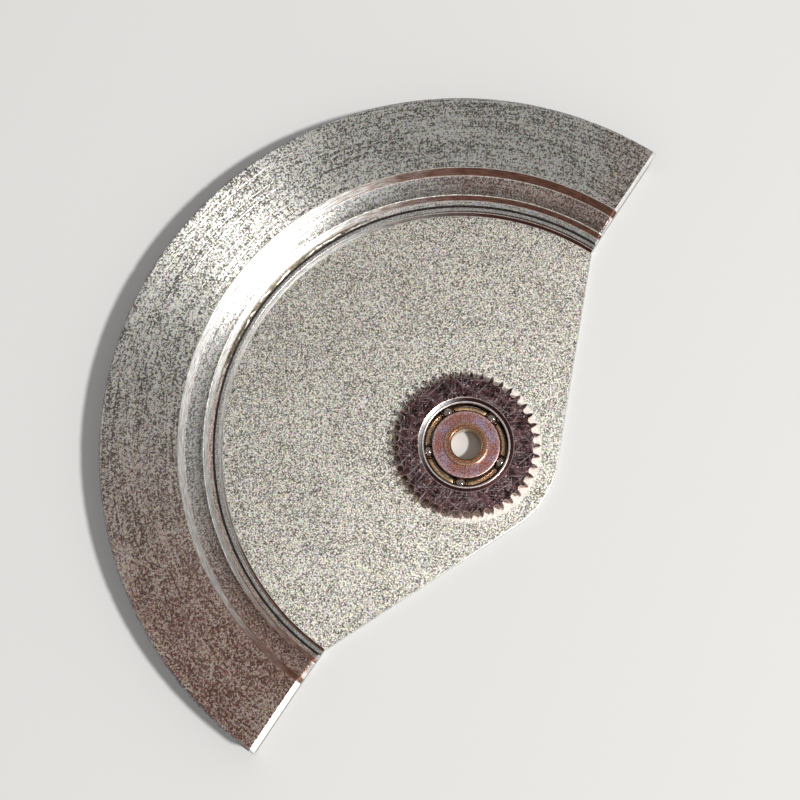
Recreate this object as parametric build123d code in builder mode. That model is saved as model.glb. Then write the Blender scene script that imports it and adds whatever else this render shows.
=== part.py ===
from build123d import *
import os
from math import acos, asin, cos, degrees, radians, sin, sqrt

# An automatic watch rotor, lying as it is stored: the movement side faces up, the display side faces down.
# All sizes are in millimetres. +Z is the bearing axis and points out of the movement side. The origin is on
# that axis, in the face that seats on the automatic bridge. +Y points through the middle of the weight.

# Heights of the main faces above the seat
REST_Z = -0.66
BAND_Z = 0.92
PLATE_TOP_Z = -0.40
PLATE_THICKNESS = 0.22
GEAR_FACE_Z = 0.02

# Weight: a ring turned in steps and cut straight across. From the flat outer band a sloping wall leads to
# the middle band, which is a shallow cone, and a second wall leads down to the narrow ledge by the plate.
WEIGHT_R = 12.5
CUT_Y = 0.12
BAND_INNER_R = 9.80
MIDDLE_OUTER_R = 9.65
MIDDLE_OUTER_Z = 0.57
MIDDLE_INNER_R = 9.03
MIDDLE_INNER_Z = 0.19
LEDGE_OUTER_R = 8.91
LEDGE_OUTER_Z = 0.01
LEDGE_INNER_Z = -0.09
JOINT_R = 8.73
RIM_BEVEL = 0.09
DISPLAY_BEVEL = 0.18
END_BEVEL = 0.11
LEDGE_END_BEVEL = 0.04
LIP_BEVEL = 0.035

# Plate: let into the weight from the display side, with a raised rim
RIM_TOP_Z = -0.11
RIM_LIP_R = 8.575
RIM_STEP_R = 8.56
RIM_STEP_Z = -0.20
RIM_NECK_R = 8.535
RIM_NECK_Z = -0.225
RIM_FOOT_R = 8.49
TONGUE_R = 9.40
TONGUE_THICKNESS = 0.12
HUB_R = 3.29
EDGE_BREAK = 0.04

# Ball bearing
BALL_COUNT = 5
BALL_R = 0.23
PITCH_R = 1.33
BALL_Z = -0.31
FIRST_BALL_ANGLE = -10.5
RACE_PLAY = 0.01
RING_LIP_R = 1.465
RING_NECK_R = 1.545
RING_BODY_R = 1.85
RING_SHOULDER_Z = -0.12
RING_FLANGE_R = 2.15
RING_FLANGE_THICKNESS = 0.08
RING_EDGE = 0.02
BEARING_FAR_Z = -0.64

# Core, cone and cage
CORE_RIM_R = 1.18
CORE_STEM_R = 0.94
CORE_EDGE = 0.025
SCREW_BORE_R = 0.53
BORE_BREAK = 0.05
COLLAR_R = 0.77
COLLAR_HEIGHT = 0.10
COLLAR_ROUND = 0.04
CAGE_INNER_R = 1.262
CAGE_OUTER_R = 1.40
CAGE_TOP_Z = -0.29
CAGE_FAR_Z = -0.63
CAGE_EDGE = 0.015
POCKET_R = BALL_R + 0.03

# Gear: pointed teeth with rounded gaps, on a web that stands clear of the plate
TEETH = 42
TIP_R = 2.59
FLANK_TOP_R = 2.46
FLANK_FOOT_R = 2.375
ROOT_R = 2.33
FIRST_GAP_ANGLE = -52.6
TOOTH_SHARE_FOOT = 0.43
TOOTH_SHARE_PITCH = 0.40
TIP_LAND = 0.022
OGIVE_BULGE = 0.008
GEAR_WEB = 0.26
GEAR_BOSS_R = 2.06
GEAR_SINK_R = 1.68
GEAR_SINK_DEPTH = 0.07

# The V of a race touches each ball at 45 degrees, so its apex is sqrt(2) ball radii from the ball's centre.
RACE_REACH = (BALL_R + RACE_PLAY) * sqrt(2)
OUTER_APEX_R = PITCH_R + RACE_REACH
INNER_APEX_R = PITCH_R - RACE_REACH
OUTER_FLANK = OUTER_APEX_R - RING_LIP_R
INNER_FLANK = CORE_RIM_R - INNER_APEX_R

PLATE_FAR_Z = PLATE_TOP_Z - PLATE_THICKNESS
TONGUE_TOP_Z = PLATE_FAR_Z + TONGUE_THICKNESS
GEAR_BACK_Z = GEAR_FACE_Z - GEAR_WEB
CUT_PLANE = Plane(origin=(0, CUT_Y, 0), z_dir=(0, 1, 0))


def at(radius, angle):
    """The point at a radius and an angle in degrees."""
    return (radius * cos(radians(angle)), radius * sin(radians(angle)))


def cut_edges(built, lower, upper):
    """The edges that the straight cut left on a builder's part between two heights."""
    low, high = lower - 1e-6, upper + 1e-6
    return [
        e
        for e in built.edges()
        if abs(e.center().Y - CUT_Y) < 1e-6
        and all(low < v.Z < high for v in e.vertices())
    ]


os.makedirs("parts", exist_ok=True)

# Weight: its stepped section runs round half a turn, then the straight cut takes a sliver off both ends. The
# edges of the cut are bevelled, less so towards the ledge.
with BuildPart() as heavy_segment:
    with BuildSketch(Plane.XZ):
        with BuildLine():
            Polyline(
                (TONGUE_R, REST_Z),
                (WEIGHT_R - DISPLAY_BEVEL, REST_Z),
                (WEIGHT_R, REST_Z + DISPLAY_BEVEL),
                (WEIGHT_R, BAND_Z - RIM_BEVEL),
                (WEIGHT_R - RIM_BEVEL, BAND_Z),
                (BAND_INNER_R, BAND_Z),
                (MIDDLE_OUTER_R, MIDDLE_OUTER_Z),
                (MIDDLE_INNER_R, MIDDLE_INNER_Z),
                (LEDGE_OUTER_R, LEDGE_OUTER_Z),
                (JOINT_R + LIP_BEVEL, LEDGE_INNER_Z),
                (JOINT_R, LEDGE_INNER_Z - LIP_BEVEL),
                (JOINT_R, TONGUE_TOP_Z),
                (TONGUE_R, TONGUE_TOP_Z),
                close=True,
            )
        make_face()
    revolve(axis=Axis.Z, revolution_arc=180)
    split(bisect_by=CUT_PLANE)
    for lower, upper, bevel in (
        (BAND_Z, BAND_Z, END_BEVEL),
        (MIDDLE_INNER_Z, MIDDLE_OUTER_Z, END_BEVEL / 2),
        (LEDGE_INNER_Z, LEDGE_OUTER_Z, LEDGE_END_BEVEL),
    ):
        chamfer(cut_edges(heavy_segment, lower, upper), bevel)
heavy_segment.part.label = "heavy_segment"
export_step(heavy_segment.part, "parts/heavy_segment.step")

# Plate: a half disc with a pointed hub. Each straight edge leaves the hub arc as a tangent and ends at the
# raised rim, where the weight starts.
tip = degrees(asin(CUT_Y / RIM_LIP_R))
turn = degrees(acos(HUB_R / RIM_LIP_R))
joint_x = sqrt(JOINT_R**2 - CUT_Y**2)
with BuildPart() as rotor_plate:
    with BuildSketch(Plane.XY.offset(PLATE_FAR_Z)):
        with BuildLine():
            ThreePointArc((joint_x, CUT_Y), (0, JOINT_R), (-joint_x, CUT_Y))
            Line((-joint_x, CUT_Y), at(RIM_LIP_R, 180 - tip))
            Line(at(RIM_LIP_R, 180 - tip), at(HUB_R, 180 - tip + turn))
            ThreePointArc(at(HUB_R, 180 - tip + turn), (0, -HUB_R), at(HUB_R, tip - turn))
            Line(at(HUB_R, tip - turn), at(RIM_LIP_R, tip))
            Line(at(RIM_LIP_R, tip), (joint_x, CUT_Y))
        make_face()
    extrude(amount=PLATE_THICKNESS)
    chamfer(
        [e for e in rotor_plate.edges() if e.center().Y < 0.1 and abs(e.tangent_at(0.5).Z) < 0.5],
        EDGE_BREAK,
    )
    with BuildPart(mode=Mode.PRIVATE) as rim:
        with BuildSketch(Plane.XZ):
            with BuildLine():
                Polyline(
                    (RIM_FOOT_R, PLATE_TOP_Z),
                    (RIM_NECK_R, RIM_NECK_Z),
                    (RIM_STEP_R, RIM_STEP_Z),
                    (RIM_LIP_R, RIM_TOP_Z),
                    (JOINT_R - LIP_BEVEL, RIM_TOP_Z),
                    (JOINT_R, LEDGE_INNER_Z - LIP_BEVEL),
                    (JOINT_R, TONGUE_TOP_Z),
                    (TONGUE_R, TONGUE_TOP_Z),
                    (TONGUE_R, PLATE_FAR_Z),
                    (RIM_FOOT_R, PLATE_FAR_Z),
                    close=True,
                )
            make_face()
        revolve(axis=Axis.Z, revolution_arc=180)
        split(bisect_by=CUT_PLANE)
    add(rim.part)
    with Locations((0, 0, PLATE_FAR_Z)):
        Cylinder(
            RING_BODY_R,
            PLATE_THICKNESS,
            align=(Align.CENTER, Align.CENTER, Align.MIN),
            mode=Mode.SUBTRACT,
        )
        Cylinder(
            RING_FLANGE_R,
            BEARING_FAR_Z + RING_FLANGE_THICKNESS - PLATE_FAR_Z,
            align=(Align.CENTER, Align.CENTER, Align.MIN),
            mode=Mode.SUBTRACT,
        )
rotor_plate.part.label = "rotor_plate"
export_step(rotor_plate.part, "parts/rotor_plate.step")

# Gear: every tooth has short radial flanks and a pointed ogive above them, and a round gap follows it.
pitch = 360 / TEETH
foot = TOOTH_SHARE_FOOT * pitch / 2
shoulder = TOOTH_SHARE_PITCH * pitch / 2
land = degrees(TIP_LAND / TIP_R) / 2
ogive_r = (FLANK_TOP_R + TIP_R) / 2
ogive = (shoulder + land) / 2 + degrees(OGIVE_BULGE / ogive_r)
with BuildPart() as winding_gear:
    with BuildSketch(Plane.XY.offset(GEAR_BACK_Z)):
        with BuildLine():
            for tooth in range(TEETH):
                middle = FIRST_GAP_ANGLE + (tooth + 0.5) * pitch
                Line(at(FLANK_FOOT_R, middle - foot), at(FLANK_TOP_R, middle - shoulder))
                ThreePointArc(
                    at(FLANK_TOP_R, middle - shoulder),
                    at(ogive_r, middle - ogive),
                    at(TIP_R, middle - land),
                )
                Line(at(TIP_R, middle - land), at(TIP_R, middle + land))
                ThreePointArc(
                    at(TIP_R, middle + land),
                    at(ogive_r, middle + ogive),
                    at(FLANK_TOP_R, middle + shoulder),
                )
                Line(at(FLANK_TOP_R, middle + shoulder), at(FLANK_FOOT_R, middle + foot))
                ThreePointArc(
                    at(FLANK_FOOT_R, middle + foot),
                    at(ROOT_R, middle + pitch / 2),
                    at(FLANK_FOOT_R, middle + pitch - foot),
                )
        make_face()
    extrude(amount=GEAR_WEB)
    with BuildSketch(Plane.XY.offset(PLATE_TOP_Z)):
        Circle(GEAR_BOSS_R)
    extrude(amount=GEAR_BACK_Z - PLATE_TOP_Z)
    with BuildSketch(Plane.XZ):
        with BuildLine():
            Polyline(
                (0, PLATE_TOP_Z),
                (RING_BODY_R, PLATE_TOP_Z),
                (RING_BODY_R, RING_SHOULDER_Z),
                (RING_NECK_R, RING_SHOULDER_Z),
                (RING_NECK_R, GEAR_FACE_Z - GEAR_SINK_DEPTH),
                (GEAR_SINK_R, GEAR_FACE_Z),
                (0, GEAR_FACE_Z),
                close=True,
            )
        make_face()
    revolve(axis=Axis.Z, mode=Mode.SUBTRACT)
winding_gear.part.label = "winding_gear"
export_step(winding_gear.part, "parts/winding_gear.step")

# Outer ring: its flange holds the plate from the display side, its shoulder and neck hold the gear.
with BuildPart() as bearing_outer_ring:
    with BuildSketch(Plane.XZ):
        with BuildLine():
            Polyline(
                (RING_LIP_R, BEARING_FAR_Z + LIP_BEVEL),
                (RING_LIP_R, BALL_Z - OUTER_FLANK),
                (OUTER_APEX_R, BALL_Z),
                (RING_LIP_R, BALL_Z + OUTER_FLANK),
                (RING_LIP_R, -LIP_BEVEL),
                (RING_LIP_R + LIP_BEVEL, 0),
                (RING_NECK_R - RING_EDGE, 0),
                (RING_NECK_R, -RING_EDGE),
                (RING_NECK_R, RING_SHOULDER_Z),
                (RING_BODY_R, RING_SHOULDER_Z),
                (RING_BODY_R, BEARING_FAR_Z + RING_FLANGE_THICKNESS),
                (RING_FLANGE_R, BEARING_FAR_Z + RING_FLANGE_THICKNESS),
                (RING_FLANGE_R, BEARING_FAR_Z + RING_EDGE),
                (RING_FLANGE_R - RING_EDGE, BEARING_FAR_Z),
                (RING_LIP_R + LIP_BEVEL, BEARING_FAR_Z),
                close=True,
            )
        make_face()
    revolve(axis=Axis.Z)
bearing_outer_ring.part.label = "bearing_outer_ring"
export_step(bearing_outer_ring.part, "parts/bearing_outer_ring.step")

# Core: the seat face, the collar that centres it in the bridge, the screw's bore and half of the inner race.
with BuildPart() as bearing_core:
    with BuildSketch(Plane.XZ):
        with BuildLine():
            Polyline(
                (COLLAR_R, COLLAR_HEIGHT - COLLAR_ROUND),
                (COLLAR_R, 0),
                (CORE_RIM_R - CORE_EDGE, 0),
                (CORE_RIM_R, -CORE_EDGE),
                (CORE_RIM_R, BALL_Z + INNER_FLANK),
                (INNER_APEX_R, BALL_Z),
                (CORE_STEM_R, BALL_Z),
                (CORE_STEM_R, BEARING_FAR_Z),
                (SCREW_BORE_R + BORE_BREAK, BEARING_FAR_Z),
                (SCREW_BORE_R, BEARING_FAR_Z + BORE_BREAK),
                (SCREW_BORE_R, COLLAR_HEIGHT - BORE_BREAK),
                (SCREW_BORE_R + BORE_BREAK, COLLAR_HEIGHT),
                (COLLAR_R - COLLAR_ROUND, COLLAR_HEIGHT),
            )
            CenterArc(
                (COLLAR_R - COLLAR_ROUND, COLLAR_HEIGHT - COLLAR_ROUND),
                COLLAR_ROUND,
                0,
                90,
            )
        make_face()
    revolve(axis=Axis.Z)
bearing_core.part.label = "bearing_core"
export_step(bearing_core.part, "parts/bearing_core.step")

# Cone: the other half of the inner race, pressed on the core's stem from the display side.
with BuildPart() as bearing_cone:
    with BuildSketch(Plane.XZ):
        with BuildLine():
            Polyline(
                (CORE_STEM_R, BALL_Z),
                (INNER_APEX_R, BALL_Z),
                (CORE_RIM_R, BALL_Z - INNER_FLANK),
                (CORE_RIM_R, BEARING_FAR_Z + CORE_EDGE),
                (CORE_RIM_R - CORE_EDGE, BEARING_FAR_Z),
                (CORE_STEM_R, BEARING_FAR_Z),
                close=True,
            )
        make_face()
    revolve(axis=Axis.Z)
bearing_cone.part.label = "bearing_cone"
export_step(bearing_cone.part, "parts/bearing_cone.step")

# Cage: a crown whose pockets are open towards the movement, so that each ball shows between two fingers.
pocket_length = 2 * (CAGE_OUTER_R - CAGE_INNER_R)
with BuildPart() as ball_cage:
    with BuildSketch(Plane.XZ):
        with Locations(((CAGE_INNER_R + CAGE_OUTER_R) / 2, (CAGE_FAR_Z + CAGE_TOP_Z) / 2)):
            Rectangle(CAGE_OUTER_R - CAGE_INNER_R, CAGE_TOP_Z - CAGE_FAR_Z)
    revolve(axis=Axis.Z)
    with PolarLocations(PITCH_R, BALL_COUNT, start_angle=FIRST_BALL_ANGLE):
        with Locations((0, 0, BALL_Z)):
            Cylinder(POCKET_R, pocket_length, rotation=(0, 90, 0), mode=Mode.SUBTRACT)
            Box(
                pocket_length,
                2 * POCKET_R,
                2 * (CAGE_TOP_Z - BALL_Z),
                align=(Align.CENTER, Align.CENTER, Align.MIN),
                mode=Mode.SUBTRACT,
            )
    finger_tops = ball_cage.edges().group_by(Axis.Z)[-1]
    chamfer(finger_tops, CAGE_EDGE)
ball_cage.part.label = "ball_cage"
export_step(ball_cage.part, "parts/ball_cage.step")

# Balls
for number in range(BALL_COUNT):
    x, y = at(PITCH_R, FIRST_BALL_ANGLE + number * 360 / BALL_COUNT)
    with BuildPart() as ball:
        with Locations((x, y, BALL_Z)):
            Sphere(BALL_R)
    ball.part.label = f"ball_{number + 1}"
    export_step(ball.part, f"parts/ball_{number + 1}.step")
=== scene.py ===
"""The looks of an automatic watch rotor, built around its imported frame.

Lengths are in metres. +Z is the bearing axis and points out of the movement side, which faces up. The origin
is on that axis, in the core's seat face. +Y points through the middle of the weight. Each piece is a surface
worked out from a section and a path, in the place that its frame node has, and stands for that node.
"""

import logging
import math
from dataclasses import dataclass
from enum import Enum

import bmesh
import bpy
import numpy as np
from mathutils import Matrix, Vector


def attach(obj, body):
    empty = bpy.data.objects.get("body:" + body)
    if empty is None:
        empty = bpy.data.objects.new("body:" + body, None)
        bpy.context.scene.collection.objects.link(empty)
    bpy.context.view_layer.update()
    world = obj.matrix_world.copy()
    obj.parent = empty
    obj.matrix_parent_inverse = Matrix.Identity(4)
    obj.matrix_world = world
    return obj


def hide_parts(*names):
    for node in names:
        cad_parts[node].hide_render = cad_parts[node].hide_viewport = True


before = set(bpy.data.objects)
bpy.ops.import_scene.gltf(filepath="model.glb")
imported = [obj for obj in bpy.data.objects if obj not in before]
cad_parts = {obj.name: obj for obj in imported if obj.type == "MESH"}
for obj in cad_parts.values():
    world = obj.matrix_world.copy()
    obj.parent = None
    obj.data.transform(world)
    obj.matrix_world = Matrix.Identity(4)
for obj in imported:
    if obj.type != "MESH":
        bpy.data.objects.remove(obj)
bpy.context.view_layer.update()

log = logging.getLogger("rotor")

MM = 0.001
FULL_TURN = 2 * math.pi
SHARP_ANGLE = math.radians(32)
MERGE_DISTANCE = 0.00004 * MM

# A rounding takes up at most this share of a side, and a side longer than the last length is guarded.
ROUNDED_SHARE = 0.48
GUARD = 0.02 * MM
GUARDED_SIDE = 0.15 * MM

# The sizes at which two pieces meet, in millimetres.
CUT_Y = 0.12
JOINT_R = 8.73
TONGUE_R = 9.40
TONGUE_Z = -0.50
PLATE_Z = -0.40
NECK_R = 1.545
BODY_R = 1.85
SHOULDER_Z = -0.12
FLANGE_R = 2.15

# A span goes from one value to another. A window starts, is full, starts to go and is gone.
Span = tuple[float, float]
Window = tuple[float, float, float, float]
Colour = tuple[float, float, float]
Socket = bpy.types.NodeSocket


class Zone(Enum):
    """The surfaces of the rotor that have a finish of their own, by their materials' names."""

    OUTER_BAND = "turned_outer_band"
    MIDDLE_BAND = "turned_middle_band"
    STEP_WALL = "turned_step_wall"
    GILT_EDGE = "gilt_burr_edge"
    FOOT_LINE = "light_foot_line"
    LEDGE = "turned_ledge"
    SEAM = "dark_joint_seam"
    RIM = "dark_rim_bevel"
    CUT_END = "bright_cut_end"
    CUT_FACE = "milled_cut_face"
    DISPLAY_SIDE = "brushed_display_side"
    PLATE_FACE = "blasted_plate_face"
    PLATE_EDGE = "bright_plate_edge"
    PLATE_LIP = "turned_plate_lip"
    LIP_WALL = "dark_lip_wall"
    GEAR_FACE = "lapped_gear_face"
    GEAR_FLANK = "tarnished_gear_flank"
    TOOTH_EDGE = "worn_tooth_edge"
    GEAR_SINK = "dark_gear_sink"
    RACE = "polished_race"
    RING_LIP = "polished_ring_lip"
    TINT = "heat_tinted_core"
    COLLAR = "coppery_collar"
    BORE = "burnished_bore"
    BRASS = "satin_cage_brass"
    BALL = "chromed_ball"


@dataclass(frozen=True)
class Corner:
    """A corner of a section.

    Attributes:
        r: Distance from the bearing axis, in millimetres.
        z: Height, in millimetres.
        zone: The finish of the stretch that starts here.
        soft: How far the rounding reaches along both sides, in millimetres.
    """

    r: float
    z: float
    zone: Zone
    soft: float = 0.0


@dataclass(frozen=True)
class Outline:
    """A section with its rounded corners worked out.

    Attributes:
        points: Radius and height of each point, in metres.
        zones: The finish of the stretch that starts at each point.
    """

    points: np.ndarray
    zones: list[Zone]


def soften(corners: list[Corner], steps: int = 4) -> Outline:
    """Rounds each soft corner of a closed section.

    A rounding is a parabola: it leaves one side at the soft distance from the corner, meets the other side at
    the same distance, and has the corner as its control point. It takes up less than half of a side. A long
    side gets a guard point just beyond each of its roundings, which keeps their shading off its flat part.

    Args:
        corners: The corners, in order round the section.
        steps: How many stretches each rounding is divided into.

    Returns:
        The section's outline.
    """
    at = np.array([(c.r, c.z) for c in corners]) * MM
    points: list[np.ndarray] = []
    zones: list[Zone] = []
    for i, corner in enumerate(corners):
        here, before, after = at[i], at[i - 1], at[(i + 1) % len(at)]
        back, ahead = np.hypot(*(before - here)), np.hypot(*(after - here))
        reach = min(corner.soft * MM, ROUNDED_SHARE * back, ROUNDED_SHARE * ahead)
        if reach < MERGE_DISTANCE:
            points.append(here[None, :])
            zones.append(corner.zone)
            continue
        to_back, to_ahead = (before - here) / back, (after - here) / ahead
        start, end = here + to_back * reach, here + to_ahead * reach
        t = np.linspace(0, 1, steps + 1)[:, None]
        if back > GUARDED_SIDE:
            points.append((start + to_back * GUARD)[None, :])
            zones.append(corners[i - 1].zone)
        points.append((1 - t) ** 2 * start + 2 * t * (1 - t) * here + t**2 * end)
        zones += [corner.zone] * (steps + 1)
        if ahead > GUARDED_SIDE:
            points.append((end + to_ahead * GUARD)[None, :])
            zones.append(corner.zone)
    return Outline(np.concatenate(points), zones)


def waver(angle: np.ndarray, seed: int, slowest: int, waves: int) -> np.ndarray:
    """An uneven wave round the axis, the same at each run.

    It is a sum of sines with seeded phases and weights, scaled to about -1 to 1. Their frequencies rise
    evenly in ratio, up to 1.35 to the twelfth of the slowest.

    Args:
        angle: Angles round the axis, in radians.
        seed: The seed of the phases.
        slowest: Waves in a full turn of the slowest sine.
        waves: How many sines are added.

    Returns:
        The wave's value at each angle.
    """
    random = np.random.default_rng(seed)
    frequency = slowest * 1.35 ** np.linspace(0, 12, waves)
    phase = random.uniform(0, FULL_TURN, waves)
    weight = random.uniform(0.4, 1.0, waves)
    total = (np.sin(np.asarray(angle)[..., None] * frequency + phase) * weight).sum(-1)
    return total / np.sqrt((weight**2).sum() * 2)


def revolve(points: np.ndarray, angle: np.ndarray) -> np.ndarray:
    """Carries a section round the axis.

    Each point goes to x = r cos(angle), y = r sin(angle), at its own height.

    Args:
        points: Radius and height of the section's points, one row for each or one set for each angle.
        angle: The angle of each copy, or of each point of each copy.

    Returns:
        The grid of points, copies by section points by three.
    """
    angle = np.asarray(angle, float)
    angle = angle[:, None] if angle.ndim == 1 else angle
    r, z = points[..., 0], points[..., 1]
    return np.stack(np.broadcast_arrays(r * np.cos(angle), r * np.sin(angle), z + 0 * angle), -1)


@dataclass
class Piece:
    """One visible piece of the rotor, from its grid of points to its place in the scene.

    Attributes:
        name: The piece's name.
        node: The frame node that it stands for.
        body: The moving body that it rides on.
        slot: The record's material slot; not used.
    """

    name: str
    node: str
    body: str
    slot: str

    def wrap(
        self,
        grid: np.ndarray,
        zones: list[Zone] | np.ndarray,
        round_axis: bool = True,
        cap: Zone | None = None,
        closed: bool = True,
    ) -> bpy.types.Object:
        """Makes the mesh of a closed section carried along a path.

        Args:
            grid: Copies by section points by three.
            zones: The finish of each stretch of the section, or of each face of the grid.
            round_axis: Whether the last copy joins the first.
            cap: The finish of the two end faces of a path that doesn't close.
            closed: Whether the section's last point joins its first.

        Returns:
            The finished object, riding on its body and standing for its node.
        """
        copies, around = grid.shape[:2]
        i = np.arange(copies if round_axis else copies - 1)[:, None]
        j = np.arange(around if closed else around - 1)[None, :]
        i2, j2 = (i + 1) % copies, (j + 1) % around
        corners = (i * around + j, i2 * around + j, i2 * around + j2, i * around + j2)
        faces = np.stack(np.broadcast_arrays(*corners), -1).reshape(-1, 4)
        labels = list(np.broadcast_to(np.array(zones, dtype=object), (len(i), j.size)).reshape(-1))
        rows = faces.tolist()
        if cap is not None:
            rows.append(list(range(around)))
            rows.append(list(range((copies - 1) * around, copies * around))[::-1])
            labels += [cap, cap]
        return self.finish(grid.reshape(-1, 3), rows, labels)

    def finish(self, points: np.ndarray, faces: list[list[int]], labels: list[Zone]) -> bpy.types.Object:
        """Puts points and faces into a mesh, closes it, dresses it and sets it on its body.

        Args:
            points: The vertices.
            faces: The vertices of each face.
            labels: The finish of each face.

        Returns:
            The object.
        """
        mesh = bpy.data.meshes.new(self.name)
        mesh.from_pydata(points.tolist(), [], faces)
        used = [z for z in Zone if z in set(labels)]
        for zone in used:
            mesh.materials.append(FINISHES[zone].material(zone.value))
        number = {zone: n for n, zone in enumerate(used)}
        mesh.polygons.foreach_set("material_index", [number[z] for z in labels])
        close_and_face_out(mesh)
        mesh.shade_smooth()
        mesh.set_sharp_from_angle(angle=SHARP_ANGLE)
        piece = bpy.data.objects.new(self.name, mesh)
        bpy.context.scene.collection.objects.link(piece)
        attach(piece, self.body)
        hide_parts(self.node)
        log.info("%s: %d faces for %s", self.name, len(mesh.polygons), self.node)
        return piece


def close_and_face_out(mesh: bpy.types.Mesh) -> None:
    """Merges the doubles of a closed mesh, drops its empty faces, and turns the faces outwards.

    Args:
        mesh: The mesh, changed in place.
    """
    shell = bmesh.new()
    shell.from_mesh(mesh)
    bmesh.ops.remove_doubles(shell, verts=shell.verts, dist=MERGE_DISTANCE)
    bmesh.ops.dissolve_degenerate(shell, edges=shell.edges, dist=MERGE_DISTANCE)
    loose = [e for e in shell.edges if not e.link_faces]
    bmesh.ops.delete(shell, geom=loose, context="EDGES")
    if shell.calc_volume(signed=True) < 0:
        bmesh.ops.reverse_faces(shell, faces=shell.faces)
    open_edges = sum(1 for e in shell.edges if len(e.link_faces) != 2)
    if open_edges:
        log.warning("%s has %d open edges", mesh.name, open_edges)
    shell.to_mesh(mesh)
    shell.free()


@dataclass(frozen=True)
class Signal:
    """A number, place or colour that varies over a surface. Arithmetic on it adds nodes to its graph.

    Attributes:
        graph: The graph that it belongs to.
        socket: The node output that gives it.
    """

    graph: "Graph"
    socket: Socket

    def __add__(self, other: object) -> "Signal":
        """The sum."""
        return self.graph.calc("ADD", self, other)

    def __sub__(self, other: object) -> "Signal":
        """This less the other."""
        return self.graph.calc("SUBTRACT", self, other)

    def __rsub__(self, other: object) -> "Signal":
        """The other less this."""
        return self.graph.calc("SUBTRACT", other, self)

    def __mul__(self, other: object) -> "Signal":
        """The product."""
        return self.graph.calc("MULTIPLY", self, other)

    def spread(self, low: float, high: float, to: Span = (0.0, 1.0)) -> "Signal":
        """Maps low to high onto another span, gently at both ends, and clamps it there."""
        mode = {"clamp": True, "interpolation_type": "SMOOTHSTEP"}
        return self.graph.take("ShaderNodeMapRange", self, low, high, *to, **mode)

    def from_to(self, degrees: Span, to: Span = (0.0, 1.0)) -> "Signal":
        """Maps the way from one angle in degrees to another onto a span."""
        return self.spread(math.radians(degrees[0]), math.radians(degrees[1]), to)

    def between(self, degrees: Window) -> "Signal":
        """One inside a window of angles and nothing outside it, with a gradual start and end."""
        return self.from_to(degrees[:2]) * self.from_to(degrees[2:], (1.0, 0.0))

    def scaled(self, amount: "Signal") -> "Signal":
        """A colour times a number or another colour."""
        return self.graph.take("ShaderNodeVectorMath", self, amount, operation="MULTIPLY")

    def mottled(self, amount: float, size_mm: float = 0.06) -> "Signal":
        """Shifts a colour's hue a little from grain to grain.

        Args:
            amount: How far each of red, green and blue departs, as a share of itself.
            size_mm: Size of the grains.

        Returns:
            The shifted colour.
        """
        graph, least = self.graph, 1 - amount / 2
        noise = graph.patches(graph.place, size_mm, 1.0, 0.5).outputs["Color"]
        parts = (noise, (amount,) * 3, (least,) * 3)
        return self.scaled(graph.take("ShaderNodeVectorMath", *parts, operation="MULTIPLY_ADD"))


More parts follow.
